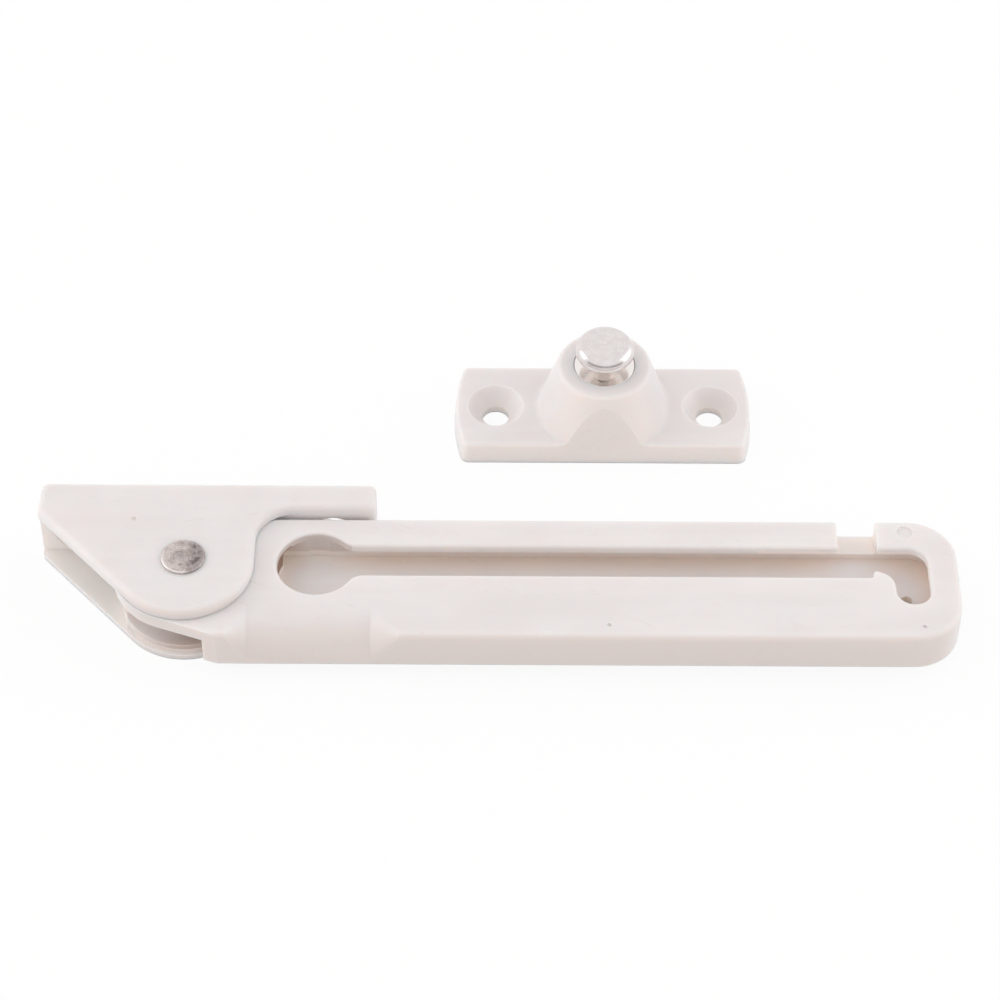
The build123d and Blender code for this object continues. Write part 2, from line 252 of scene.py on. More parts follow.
def make_ring_group():
    """Mask of a thin ring about a centre, seen from above. With no radius it is a spot."""
    tree, given, result = new_group(
        "Ring mark",
        [
            ("Point", "NodeSocketVector", None),
            ("Radius", "NodeSocketFloat", 2.0),
            ("Width", "NodeSocketFloat", 0.2),
        ],
        ["Mask", "Distance"],
    )
    flat = vector_maths(tree, "MULTIPLY", given["Point"], (1.0, 1.0, 0.0))
    length = add(tree, "ShaderNodeVectorMath", {0: flat}, operation="LENGTH")
    distance = length.outputs["Value"]
    off = maths(tree, "ABSOLUTE", maths(tree, "SUBTRACT", distance, given["Radius"]))
    share = maths(tree, "DIVIDE", off, given["Width"])
    plug(tree, result["Mask"], fall(tree, share, 0.0, 1.0))
    plug(tree, result["Distance"], distance)
    return tree


def make_outline_group():
    """Mask of the thin outline of an upright rectangle about a centre, seen from above."""
    tree, given, result = new_group(
        "Insert outline",
        [
            ("Point", "NodeSocketVector", None),
            ("Half length", "NodeSocketFloat", 10.0),
            ("Half width", "NodeSocketFloat", 2.0),
            ("Line", "NodeSocketFloat", 0.12),
        ],
        ["Mask", "Inside"],
    )
    off_centre = vector_maths(tree, "ABSOLUTE", given["Point"])
    past_end = maths(tree, "SUBTRACT", part_of(tree, off_centre, "X"), given["Half length"])
    past_side = maths(tree, "SUBTRACT", part_of(tree, off_centre, "Y"), given["Half width"])
    outside = maths(tree, "MAXIMUM", past_end, past_side)
    share = maths(tree, "DIVIDE", maths(tree, "ABSOLUTE", outside), given["Line"])
    plug(tree, result["Mask"], fall(tree, share, 0.0, 1.0))
    plug(tree, result["Inside"], fall(tree, outside, -0.05, 0.05))
    return tree


def make_painted_hollow_glow_group():
    """Mask of the hollows of a moulding, where a warm glow is painted in place of the light that
    has passed through the plastic.
    """
    tree, given, result = new_group(
        "Painted warm glow in hollows", [("Reach", "NodeSocketFloat", 6.0 * MM)], ["Mask"]
    )
    openness = add(
        tree, "ShaderNodeAmbientOcclusion", {"Distance": given["Reach"]}, samples=6, only_local=True
    ).outputs["AO"]
    plug(tree, result["Mask"], fall(tree, openness, 0.2, 0.82))
    return tree


SCRATCHES = make_scratch_group()
MOULDING = make_moulding_group()
WORN_AND_HIGHLIT_EDGES = make_edge_wear_and_highlight_group()
RING = make_ring_group()
OUTLINE = make_outline_group()
PAINTED_HOLLOW_GLOW_GROUP = make_painted_hollow_glow_group()


# Plastics

# Shades of the plastic: its two tones, the warm glow painted into its hollows, the wear and
# painted highlight of its edges, and what its scratches and specks tend to
PALE_TONES = ((234, 229, 228), (238, 234, 233))
HOLLOW_PAINTED_GLOW = (250, 235, 224)
EDGE_WEAR_AND_HIGHLIGHT = (246, 242, 239)
WORN_SHADE = (222, 214, 211)
SPECK_SHADE = (176, 164, 156)

# Shades of its marks: stains of its own, painted light on thin walls that light comes
# through, and painted shadow, dark brown, where little light reaches
STAIN_SHADE = (216, 205, 201)
PAINTED_THROUGH_LIGHT = (255, 243, 238)
PAINTED_DEEP_SHADOW = (142, 112, 90)

# Painted shading of the faces that look to the front, standing in for the light from that
# side: a darker shade on the stay and a lighter one on the keeper plate, and how far back
# along Y such faces take it
STAY_PAINTED_FRONT_SHADE = (233, 224, 220)
KEEPER_PAINTED_FRONT_LIGHT = (247, 237, 233)
STAY_FRONT_END = -25.0
KEEPER_FRONT_END = 21.5

# Places that take a painted shadow, as little light comes there: under the arm's tongue, and
# the keyhole's left wall and floor
UNDER_TONGUE = ((-62.0, -30.9, 1.6), (-42.0, -8.0, 9.8))
KEYHOLE_WALL = ((-37.6, -25.0, 6.15), (-34.2, -12.0, 9.2))
KEYHOLE_FLOOR = ((-37.0, -26.0, 5.8), (-24.0, -11.0, 10.2))

# Places that take painted light, standing in for light that comes through the plastic: the gap
# at the bracket's left, and the end pocket
LEFT_GAP = ((-77.4, -32.0, 0.7), (-61.6, -6.9, 9.9))
POCKET = ((44.0, -26.0, 5.8), (76.0, -8.5, 9.6))

# Outlines that the mould's inserts leave on the arm's top: centre, half length, half width
INSERTS = (
    ((1.6, -10.9), 6.6, 1.9),
    ((42.5, -10.9), 14.7, 1.9),
    ((0.5, -26.6), 18.6, 4.3),
)


def start_material(name, metallic):
    """A material with its Principled shader and its output, ready for its patterns."""
    material = bpy.data.materials.new(name)
    material.use_nodes = True
    tree = material.node_tree
    tree.nodes.clear()
    shader = add(tree, "ShaderNodeBsdfPrincipled", {"Metallic": metallic})
    add(tree, "ShaderNodeOutputMaterial", {"Surface": shader.outputs[0]})
    return material, tree, shader


def set_bump(tree, shader, height, strength, depth):
    """Gives a shader the relief of a height, with its depth in millimetres."""
    inputs = {"Strength": strength, "Distance": depth * MM, "Height": height}
    plug(tree, shader.inputs["Normal"], add(tree, "ShaderNodeBump", inputs).outputs[0])


def moulded_plastic(name, corner, top, front_end, painted_front_tone, marks=None):
    """Satin white plastic, with its pattern laid out from a corner. A warm glow is painted into its
    hollows up to just under its top, and a painted shade onto its front faces up to front_end.
    Its marks come from a function that gives a height and the shares of stain, of painted light
    on thin walls and of painted shadow."""
    material, tree, shader = start_material(name, 0.0)
    point = millimetres(tree, corner)
    skin = use(tree, MOULDING, point=point, grain_size=4.0)
    edges = use(tree, WORN_AND_HIGHLIT_EDGES, point=point, reach=0.45 * MM)["Mask"]
    scuffs = use(tree, SCRATCHES, point=point, turn=0.5, closeness=2.4, rarity=0.66)["Mask"]
    rubs = use(tree, SCRATCHES, point=point, turn=-0.25, closeness=3.1, rarity=0.68)["Mask"]
    worn = maths(tree, "MAXIMUM", scuffs, rubs)
    painted_hollow_glow = use(tree, PAINTED_HOLLOW_GLOW_GROUP, reach=6.0 * MM)["Mask"]

    place = add(tree, "ShaderNodeSeparateXYZ", {0: millimetres(tree)}).outputs
    below_top = fall(tree, place["Z"], top - 0.6, top - 0.35)
    facing = part_of(tree, add(tree, "ShaderNodeTexCoord").outputs["Normal"], "Y")
    front = times(tree, fall(tree, facing, -0.9, -0.3), fall(tree, painted_hollow_glow, 0.0, 0.5))
    front = times(tree, front, fall(tree, place["Y"], front_end - 1.0, front_end))

    low_tone, high_tone = PALE_TONES
    body = mix_colour(tree, skin["Shade"], srgb(*low_tone), srgb(*high_tone))
    # Warm glow painted into the hollows, in place of light that passes through the plastic
    body = tinted(tree, body, times(tree, painted_hollow_glow, below_top), HOLLOW_PAINTED_GLOW)
    # Painted shade on the front faces, standing in for the light from the front
    body = tinted(tree, body, front, painted_front_tone)
    # Lighter edges: partly wear, partly a painted highlight along the rims
    body = tinted(tree, body, times(tree, edges, 0.7), EDGE_WEAR_AND_HIGHLIGHT)
    body = tinted(tree, body, times(tree, worn, 0.25), WORN_SHADE)
    body = tinted(tree, body, times(tree, skin["Specks"], 0.5), SPECK_SHADE)
    height = maths(tree, "SUBTRACT", skin["Height"], times(tree, worn, 0.4))
    if marks:
        mark_height, stain, lit, deep = marks(tree)
        height = maths(tree, "ADD", height, mark_height)
        body = tinted(tree, body, stain, STAIN_SHADE)
        # Painted light on thin walls that light comes through
        body = tinted(tree, body, lit, PAINTED_THROUGH_LIGHT)
        # Painted shadow where little light reaches
        body = tinted(tree, body, deep, PAINTED_DEEP_SHADOW)
    plug(tree, shader.inputs["Base Color"], body)

    rough = ramp(tree, skin["Gloss"], 0.0, 1.0, 0.46, 0.36)
    rough = maths(tree, "SUBTRACT", rough, times(tree, edges, 0.06))
    rough = maths(tree, "ADD", rough, times(tree, worn, 0.12))
    plug(tree, shader.inputs["Roughness"], rough)
    set_bump(tree, shader, height, 0.35, 0.02)
    shader.inputs["Subsurface Weight"].default_value = 0.8
    shader.inputs["Subsurface Radius"].default_value = (1.0, 0.82, 0.72)
    shader.inputs["Subsurface Scale"].default_value = 1.5 * MM
    shader.inputs["Specular IOR Level"].default_value = 0.45
    return material


def bracket_marks(tree):
    """Ring and faint core of the gate's mark, painted light in the left gap and painted shadow
    under the tongue.
    """
    point = millimetres(tree, (*GATE_MARK, 0.0))
    ring = use(tree, RING, point=point, radius=1.9, width=0.35)["Mask"]
    core = use(tree, RING, point=point, radius=0.0, width=0.9)["Mask"]
    top_only = ramp(tree, part_of(tree, point, "Z"), BRACKET_TOP - 0.5, BRACKET_TOP - 0.3)
    height = times(tree, times(tree, ring, 3.0), top_only)
    stain = times(tree, times(tree, core, 0.15), top_only)
    # Painted shadow under the tongue, stronger towards the right
    rightwards = ramp(tree, part_of(tree, millimetres(tree), "X"), -61.0, -48.5, 0.14, 0.56)
    deep = times(tree, within(tree, UNDER_TONGUE, 0.3), rightwards)
    # The left gap takes painted light
    return height, stain, within(tree, LEFT_GAP, 0.4), deep


def arm_marks(tree):
    """Faint outlines of the inserts on the arm's top, painted light in the pocket and painted
    shadow in the keyhole.
    """
    height = 0.0
    for centre, half_length, half_width in INSERTS:
        point = millimetres(tree, (*centre, 0.0))
        outline = use(tree, OUTLINE, point=point, half_length=half_length, half_width=half_width)
        step = times(tree, outline["Inside"], 0.8)
        line = times(tree, outline["Mask"], 1.2)
        height = maths(tree, "ADD", maths(tree, "SUBTRACT", step, line), height)
    level = part_of(tree, millimetres(tree), "Z")
    height = times(tree, height, ramp(tree, level, ARM_TOP - 0.15, ARM_TOP - 0.05))
    # Painted shadow on the keyhole's left wall, and fainter on its floor
    floor_share = times(tree, within(tree, KEYHOLE_FLOOR, 0.4), 0.27)
    deep = maths(tree, "MAXIMUM", within(tree, KEYHOLE_WALL, 0.3), floor_share)
    # The end pocket takes painted light
    return height, 0.0, times(tree, within(tree, POCKET, 0.5), 0.95), deep


def dress(node, material):
    """Gives a solid its material."""
    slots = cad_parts[node].data.materials
    slots.clear()
    slots.append(material)


dress(
    "bracket",
    moulded_plastic(
        "bracket_plastic",
        (-60.0, -5.0, 0.0),
        BRACKET_TOP,
        STAY_FRONT_END,
        STAY_PAINTED_FRONT_SHADE,
        bracket_marks,
    ),
)
dress(
    "stay_arm",
    moulded_plastic(
        "arm_plastic", (20.0, -20.0, 3.0), ARM_TOP, STAY_FRONT_END, STAY_PAINTED_FRONT_SHADE, arm_marks
    ),
)
dress(
    "keeper_plate",
    moulded_plastic(
        "keeper_plastic", (31.0, 47.0, 9.0), BOSS_TOP, KEEPER_FRONT_END, KEEPER_PAINTED_FRONT_LIGHT
    ),
)


# Turned pieces, which take the places of plainer solids

# Steps of a full turn, how near points are merged, and the angle from which edges stay sharp
SPIN_STEPS = 144
MERGE_REACH = 0.002
SHARP_EDGE = math.radians(35)


def arc_points(centre, radius, first, last, steps):
    """Points along an arc of a half outline, between two angles in degrees."""
    points = []
    for step in range(steps + 1):
        angle = math.radians(first + (last - first) * step / steps)
        points.append((centre[0] + radius * math.cos(angle), centre[1] + radius * math.sin(angle)))
    return points


def spun(outline, centre):
    """A closed shape spun from a half outline of (radius, height) about an upright axis."""
    shape = bmesh.new()
    axis = Vector((centre[0] * MM, centre[1] * MM, 0.0))
    line = [
        shape.verts.new(axis + Vector((radius * MM, 0.0, height * MM)))
        for radius, height in outline
    ]
    edges = [shape.edges.new(pair) for pair in zip(line, line[1:])]
    bmesh.ops.spin(
        shape,
        geom=line + edges,
        cent=axis,
        axis=(0.0, 0.0, 1.0),
        angle=math.tau,
        steps=SPIN_STEPS,
        use_merge=True,
    )
    bmesh.ops.remove_doubles(shape, verts=shape.verts[:], dist=MERGE_REACH * MM)
    bmesh.ops.recalc_face_normals(shape, faces=shape.faces[:])
    return shape


def finish_piece(shape, name, material, stands_for):
    """Makes an object of a shape, rides it on the base and puts it in a solid's place."""
    for face in shape.faces:
        face.smooth = True
    for edge in shape.edges:
        edge.smooth = edge.calc_face_angle(0.0) < SHARP_EDGE
    mesh = bpy.data.meshes.new(name)
    shape.to_mesh(mesh)
    shape.free()
    mesh.materials.append(material)
    made = bpy.data.objects.new(name, mesh)
    bpy.context.scene.collection.objects.link(made)
    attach(made, "base")
    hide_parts(stands_for)


# Rivet

RIVET_HEAD_BASE = 12.5
RIVET_LIP_RADIUS = 3.4

# Half outline of its foot, its shank and its head's side, as (radius, height)
RIVET_SIDE = (
    (0.0, 0.15),
    (3.6, 0.15),
    (2.5, 1.35),
    (2.5, RIVET_HEAD_BASE),
    (3.3, RIVET_HEAD_BASE),
    (3.45, 12.52),
    (3.6, 12.58),
    (3.68, 12.66),
    (3.7, 12.74),
)

# The lip's rounding and its inner slope, and the dished disc inside it
RIVET_LIP_CENTRE = (3.5, 12.74)
RIVET_LIP_ROUNDING = 0.2
RIVET_LIP_SLOPE = ((3.36, 12.92), (3.26, 12.89))
RIVET_DISC_RADIUS = 3.18
RIVET_DISC_EDGE = 12.86
RIVET_DISC_RISE = 0.1
RIVET_DISC_RINGS = 44

# What the tool did to the head: how high, over what width and on which side it pushed the lip
# up, how far out it left marks and how fast they fade there, how high it left lumps and fine
# lumps, and the centre, height and spacing of its ripples
LIP_RISE = 0.05
LIP_WIDTH = 0.2
LIP_SIDE = math.radians(215)
STRUCK_RADIUS = 3.5
STRUCK_FADE = 0.4
LUMPS = 0.05
FINE_LUMPS = 0.012
SWIRL_CENTRE = (-0.7, -0.3)
RIPPLE_HEIGHT = 0.006
RIPPLE_SPACING = 0.6

# Dents of the tool, from the rivet's axis: x, y, radius, depth
RIVET_DENTS = (
    (1.9, 2.2, 0.4, 0.14),
    (1.05, 2.7, 0.3, 0.08),
    (2.5, -0.35, 0.38, 0.14),
    (2.1, -0.9, 0.42, 0.15),
    (1.65, -1.25, 0.34, 0.1),
    (1.8, 0.6, 0.34, 0.07),
    (2.7, 0.9, 0.35, 0.08),
    (-0.35, -1.85, 0.26, 0.07),
    (1.0, -1.95, 0.3, 0.06),
    (-0.4, 1.1, 0.5, 0.04),
    (-0.3, 0.2, 1.05, 0.05),
)

# How far the outline of a dent's painted shade is shifted to either side
DENT_WOBBLE = 0.75

# Stained and shaded places of the head: x, y, radius, share and shade. The first paints shade
# along the head's far edge and the second makes it darker towards the front; the rest are stains
RIVET_STAINS_AND_SHADE = (
    (0.0, 3.2, 1.5, 0.4, (158, 148, 147)),
    (0.2, -2.0, 1.5, 0.45, (158, 147, 143)),
    (1.1, 0.2, 0.9, 0.6, (166, 150, 138)),
    (1.2, 0.9, 0.8, 0.5, (166, 150, 138)),
    (-1.7, 0.4, 0.9, 0.5, (192, 176, 162)),
    (-0.3, 0.0, 0.9, 0.5, (186, 182, 183)),
)

# Shades of its plating: painted light and shade on its two sides, its blotches, ripples, dark and
# bright grain, scores, painted shade of its dents, and its lip's wear with a painted highlight
RIVET_LIT_SIDE = (216, 204, 200)
RIVET_SHADED_SIDE = (168, 158, 157)
RIVET_BLOTCH = (152, 140, 133)
RIVET_RIPPLE = (140, 130, 127)
RIVET_DARK_GRAIN = (134, 124, 121)
RIVET_BRIGHT_GRAIN = (226, 217, 213)
RIVET_SCORE = (120, 112, 110)
RIVET_DENT_PAINTED_SHADE = (106, 96, 97)
RIVET_LIP_WEAR_AND_HIGHLIGHT = (242, 236, 233)


def rivet_outline():
    """Half outline of the rivet, from the foot's centre to the crown's."""
    rounding = arc_points(RIVET_LIP_CENTRE, RIVET_LIP_ROUNDING, 18, 108, 6)
    outline = [*RIVET_SIDE, *rounding, *RIVET_LIP_SLOPE]
    for ring in range(RIVET_DISC_RINGS + 1):
        radius = RIVET_DISC_RADIUS * (1 - ring / RIVET_DISC_RINGS)
        rise = RIVET_DISC_RISE * (1 - (radius / RIVET_DISC_RADIUS) ** 2)
        outline.append((radius, RIVET_DISC_EDGE + rise))
    return outline


def struck_height(x, y):
    """How far the riveting tool has moved the head's surface up, in millimetres."""
    radius = math.hypot(x, y)
    angle = math.atan2(y, x)
    near_lip = math.exp(-(((radius - RIVET_LIP_RADIUS) / LIP_WIDTH) ** 2))
    raised = LIP_RISE * near_lip * (math.cos(angle - LIP_SIDE) - 0.2)
    place = Vector((x, y, 0.0))
    lumps = LUMPS * perlin.noise(place * 0.9 + Vector((3.1, 0.4, 7.7)))
    lumps += FINE_LUMPS * perlin.noise(place * 2.6 + Vector((9.2, 5.1, 1.3)))
    swirl = math.hypot(x - SWIRL_CENTRE[0], y - SWIRL_CENTRE[1])
    swirl += 0.4 * perlin.noise(place * 0.8)
    ripples = RIPPLE_HEIGHT * math.sin(math.tau * swirl / RIPPLE_SPACING)
    dents = 0.0
    for dent_x, dent_y, size, depth in RIVET_DENTS:
        dents -= depth * math.exp(-(((x - dent_x) ** 2 + (y - dent_y) ** 2) / size**2))
    inside = min(1.0, max(0.0, (STRUCK_RADIUS - radius) / STRUCK_FADE))
    return raised + inside * (lumps + ripples + dents)


def spot(tree, point, x, y, size):
    """Mask of a soft round spot at a place seen from above."""
    place = vector_maths(tree, "SUBTRACT", point, (x, y, 0.0))
    return use(tree, RING, point=place, radius=0.0, width=size)["Mask"]


def struck_steel(name):
    """Plated steel of the rivet's head, with painted shading from side to side, wear and a painted
    highlight at its lip, and painted shade where the tool dug in.
    """
    material, tree, shader = start_material(name, 1.0)
    point = millimetres(tree, (*PIVOT, 0.0))
    parts = add(tree, "ShaderNodeSeparateXYZ", {0: point}).outputs
    mottle = noise(tree, point, 0.9, 4.0, 0.6, 0.4)
    lean = maths(tree, "ADD", parts["X"], times(tree, mottle, 2.4))
    from_swirl = vector_maths(tree, "SUBTRACT", point, (*SWIRL_CENTRE, 0.0))
    swirl = use(tree, RING, point=from_swirl)["Distance"]
    wander = times(tree, noise(tree, point, 0.7), 1.1)
    ripples = maths(tree, "SINE", times(tree, maths(tree, "ADD", swirl, wander), 14.0))
    lip = use(tree, RING, point=point, radius=RIVET_LIP_RADIUS + 0.08, width=0.3)["Mask"]
    # Painted highlight on the worn lip, strongest at the lower left where the light falls
    lip_wear_and_highlight = times(tree, lip, ramp(tree, lean, 1.2, 3.0, 1.0, 0.15))
    lip_wear_and_highlight = times(tree, lip_wear_and_highlight, ramp(tree, parts["Y"], -1.0, 2.2, 1.0, 0.2))
    grain = noise(tree, point, 2.4, 3.0, 0.7)
    scores = use(tree, SCRATCHES, point=point, turn=0.9, closeness=5.0, rarity=0.6)["Mask"]

    # Painted shading: lighter on the left side and darker on the right
    shaded_side = ramp(tree, lean, 0.9, 3.4)
    colour = mix_colour(tree, shaded_side, srgb(*RIVET_LIT_SIDE), srgb(*RIVET_SHADED_SIDE))
    # The first two places paint shade: along the far edge and towards the front
    for x, y, size, share, shade in RIVET_STAINS_AND_SHADE:
        colour = tinted(tree, colour, times(tree, spot(tree, point, x, y, size), share), shade)
    colour = tinted(tree, colour, ramp(tree, mottle, 0.5, 0.66, 0.0, 0.4), RIVET_BLOTCH)
    colour = tinted(tree, colour, ramp(tree, ripples, 0.1, 1.0, 0.0, 0.3), RIVET_RIPPLE)
    colour = tinted(tree, colour, ramp(tree, grain, 0.52, 0.7, 0.0, 0.4), RIVET_DARK_GRAIN)
    colour = tinted(tree, colour, ramp(tree, grain, 0.3, 0.44, 0.35, 0.0), RIVET_BRIGHT_GRAIN)
    colour = tinted(tree, colour, times(tree, scores, 0.3), RIVET_SCORE)

    # The painted shade in and around the dents has a ragged outline, because its points are shifted
    # to either side
    wobble = add(tree, "ShaderNodeTexNoise", {"Vector": point, "Scale": 1.7, "Detail": 3.0})
    reach = (DENT_WOBBLE, DENT_WOBBLE, 0.0)
    shift = vector_maths(tree, "MULTIPLY", wobble.outputs["Color"], Vector(reach) * 2)
    shift = vector_maths(tree, "SUBTRACT", shift, reach)
    ragged = vector_maths(tree, "ADD", shift, point)
    # Painted shade in and around each dent
    for x, y, size, depth in RIVET_DENTS:
        painted_dent_shade = spot(tree, ragged, x, y, size * 1.7)
        colour = tinted(tree, colour, times(tree, painted_dent_shade, min(0.9, depth * 8)), RIVET_DENT_PAINTED_SHADE)
    colour = tinted(tree, colour, times(tree, lip_wear_and_highlight, 0.85), RIVET_LIP_WEAR_AND_HIGHLIGHT)
    plug(tree, shader.inputs["Base Color"], colour)

    rough = ramp(tree, mottle, 0.35, 0.7, 0.34, 0.5)
    rough = maths(tree, "SUBTRACT", rough, times(tree, lip, 0.1))
    plug(tree, shader.inputs["Roughness"], rough)
    relief = maths(tree, "ADD", times(tree, ripples, 0.35), mottle)
    relief = maths(tree, "ADD", relief, times(tree, noise(tree, point, 6.0), 0.3))
    set_bump(tree, shader, relief, 0.5, 0.03)
    return material


def make_rivet():
    """The rivet, with its head dished and dented by the tool that spread it."""
    shape = spun(rivet_outline(), PIVOT)
    for vertex in shape.verts:
        if vertex.co.z > (RIVET_HEAD_BASE + 0.2) * MM:
            x = vertex.co.x / MM - PIVOT[0]
            y = vertex.co.y / MM - PIVOT[1]
            vertex.co.z += struck_height(x, y) * MM
    finish_piece(shape, "formed_rivet", struck_steel("rivet_steel"), "pivot_rivet")


# Stud

# Half outline of its foot, its shank and its flange's side, as (radius, height)
STUD_SIDE = (
    (0.0, 0.3),
    (4.2, 0.3),
    (4.2, 1.7),
    (3.0, 1.7),
    (3.0, 6.1),
    (5.1, 6.1),
    (5.1, 13.6),
    (5.3, 13.8),
)

# The flange's top edge, and the neck with a fillet at each end
STUD_FLANGE_TOP = 14.7
STUD_FLANGE_RADIUS = 5.3
STUD_FLANGE_ROUNDING = 0.1
STUD_NECK_RADIUS = 1.9
STUD_FILLET = 0.2

# Its head: the flat underside, the outer radius, the shoulder where the crown begins, and the
# crown's rise over it. The rounding of the top edge is tighter past STUD_TURN, in degrees.
STUD_HEAD_FOOT = 17.8
STUD_HEAD_RADIUS = 5.15
STUD_SHOULDER = 19.95
STUD_CROWN_RISE = 0.25
STUD_CROWN_RINGS = 24
STUD_EDGE = 2.2
STUD_BROW = 1.2
STUD_TURN = 42

# Shades of its metal: two tones of the head, then painted light on the flange, the head's
# underside and the neck, which lie in the head's shade, the rings of the lathe, scores and the
# centre's spot
STUD_TONES = ((224, 217, 216), (231, 225, 224))
STUD_FLANGE_PAINTED_LIGHT = (240, 235, 232)
STUD_UNDER_PAINTED_LIGHT = (251, 247, 245)
STUD_NECK_PAINTED_LIGHT = (247, 241, 237)
STUD_RING_SHADE = (203, 195, 194)
STUD_SCORE_SHADE = (190, 184, 182)
STUD_CENTRE_SHADE = (240, 236, 235)

# Rings of the lathe per millimetre: broad and fine ones on the crown, and those on the neck
BROAD_RINGS = 1.9
FINE_RINGS = 4.7
NECK_RINGS = 5.0


def stud_outline():
    """Half outline of the stud, from the foot's centre to the crown's."""
    fillet_x = STUD_NECK_RADIUS + STUD_FILLET
    edge = (STUD_FLANGE_RADIUS - STUD_FLANGE_ROUNDING, STUD_FLANGE_TOP - STUD_FLANGE_ROUNDING)
    outline = [*STUD_SIDE, *arc_points(edge, STUD_FLANGE_ROUNDING, 0, 90, 3)]
    outline += arc_points((fillet_x, STUD_FLANGE_TOP + STUD_FILLET), STUD_FILLET, 270, 180, 4)
    outline += arc_points((fillet_x, STUD_HEAD_FOOT - STUD_FILLET), STUD_FILLET, 180, 90, 4)
    rim = (STUD_HEAD_RADIUS - STUD_FILLET, STUD_HEAD_FOOT + STUD_FILLET)
    outline += arc_points(rim, STUD_FILLET, 270, 360, 4)

    looser = STUD_EDGE - STUD_BROW
    turn = math.radians(STUD_TURN)
    low_x = STUD_HEAD_RADIUS - STUD_EDGE
    low_z = STUD_SHOULDER - STUD_BROW - looser * math.sin(turn)
    high_x = low_x + looser * math.cos(turn)
    high_z = STUD_SHOULDER - STUD_BROW
    outline += arc_points((low_x, low_z), STUD_EDGE, 0, STUD_TURN, 10)
    outline += arc_points((high_x, high_z), STUD_BROW, STUD_TURN, 90, 10)[1:]
    for ring in range(1, STUD_CROWN_RINGS + 1):
        radius = high_x * (1 - ring / STUD_CROWN_RINGS)
        drop = STUD_CROWN_RISE * (radius / high_x) ** 2
        outline.append((radius, STUD_SHOULDER + STUD_CROWN_RISE - drop))
    return outline


def turned_steel(name):
    """Polished steel of the stud, with the rings that the lathe's tool left on its crown."""
    material, tree, shader = start_material(name, 1.0)
    point = millimetres(tree, (*STUD, 0.0))
    centre = use(tree, RING, point=point, radius=0.0, width=0.5)
    distance = centre["Distance"]
    height = part_of(tree, point, "Z")
    on_top = ramp(tree, height, STUD_SHOULDER - 0.15, STUD_SHOULDER)
    crown = times(tree, on_top, fall(tree, distance, 3.5, 4.1))
    flange = fall(tree, height, STUD_FLANGE_TOP + 0.2, STUD_FLANGE_TOP + 0.6)
    past_flange = ramp(tree, height, STUD_FLANGE_TOP + 0.2, STUD_FLANGE_TOP + 0.4)
    before_head = fall(tree, height, STUD_HEAD_FOOT + 0.05, STUD_HEAD_FOOT + 0.15)
    under = times(tree, past_flange, before_head)
    neck = times(tree, under, fall(tree, distance, STUD_NECK_RADIUS + 0.3, STUD_NECK_RADIUS + 0.5))
    along = maths(tree, "ADD", distance, times(tree, noise(tree, point, 0.4), 0.2))
    grooves = maths(tree, "SINE", times(tree, along, math.tau * BROAD_RINGS))
    fine = maths(tree, "SINE", times(tree, along, math.tau * FINE_RINGS))
    neck_rings = maths(tree, "SINE", times(tree, height, math.tau * NECK_RINGS))
    scores = use(tree, SCRATCHES, point=point, turn=1.2, closeness=4.0, rarity=0.66)["Mask"]
    haze = noise(tree, point, 0.7, 3.0, 0.6)

    low_tone, high_tone = STUD_TONES
    colour = mix_colour(tree, ramp(tree, haze, 0.35, 0.65), srgb(*low_tone), srgb(*high_tone))
    # Painted light on the flange, the head's underside and the neck, which lie in the head's shade
    colour = tinted(tree, colour, flange, STUD_FLANGE_PAINTED_LIGHT)
    colour = tinted(tree, colour, under, STUD_UNDER_PAINTED_LIGHT)
    colour = tinted(tree, colour, neck, STUD_NECK_PAINTED_LIGHT)
    rings = times(tree, ramp(tree, grooves, -0.4, 1.0, 0.0, 0.2), crown)
    colour = tinted(tree, colour, rings, STUD_RING_SHADE)
    colour = tinted(tree, colour, times(tree, scores, 0.2), STUD_SCORE_SHADE)
    colour = tinted(tree, colour, times(tree, centre["Mask"], 0.5), STUD_CENTRE_SHADE)
    plug(tree, shader.inputs["Base Color"], colour)

    rough = ramp(tree, haze, 0.3, 0.7, 0.18, 0.24)
    rough = maths(tree, "SUBTRACT", rough, times(tree, flange, 0.08))
    rough = maths(tree, "SUBTRACT", rough, times(tree, crown, 0.05))
    plug(tree, shader.inputs["Roughness"], rough)
    cut = maths(tree, "ADD", grooves, times(tree, fine, 0.5))
    relief = maths(tree, "ADD", times(tree, cut, crown), times(tree, neck_rings, 0.12))
    set_bump(tree, shader, relief, 0.25, 0.004)
    return material


make_rivet()
finish_piece(
    spun(stud_outline(), STUD),
    "turned_stud",
    turned_steel("stud_steel"),
    "keeper_stud",
)


# Floor, light and camera

WHITE = (1.0, 1.0, 1.0, 1.0)

# The floor: half its width, how far under the pieces it lies, its shade for light on its way,
# and the share of plain white in it where it is seen
FLOOR_REACH = 3.0
FLOOR_SINK = 0.02 * MM
FLOOR_SHADE = (0.86, 0.86, 0.86, 1.0)
FLOOR_GLOW = 0.9

# Strength of the light tent: the same all round, and what its front, back and left side add
TENT_COLOUR = (1.0, 0.985, 0.98, 1.0)
TENT_ALL_ROUND = 0.762
TENT_SIDES = (("Y", -0.03), ("Y", 0.02), ("X", -0.42))

# The tent's open front: how fast it narrows to the sides, its foot, its head and its darkness
OPENING_NARROWNESS = 0.4
OPENING_FOOT = (-0.1, 0.0)
OPENING_HEAD = (0.2, 0.4)
OPENING_DARKNESS = 0.62

# The softboxes: name, place, width in metres and power in watts
SOFTBOXES = (
    ("left_softbox", (-0.8, 0.1, 0.35), 0.5, 0.9),
    ("right_softbox", (0.8, 0.1, 0.35), 0.65, 1.7),
)

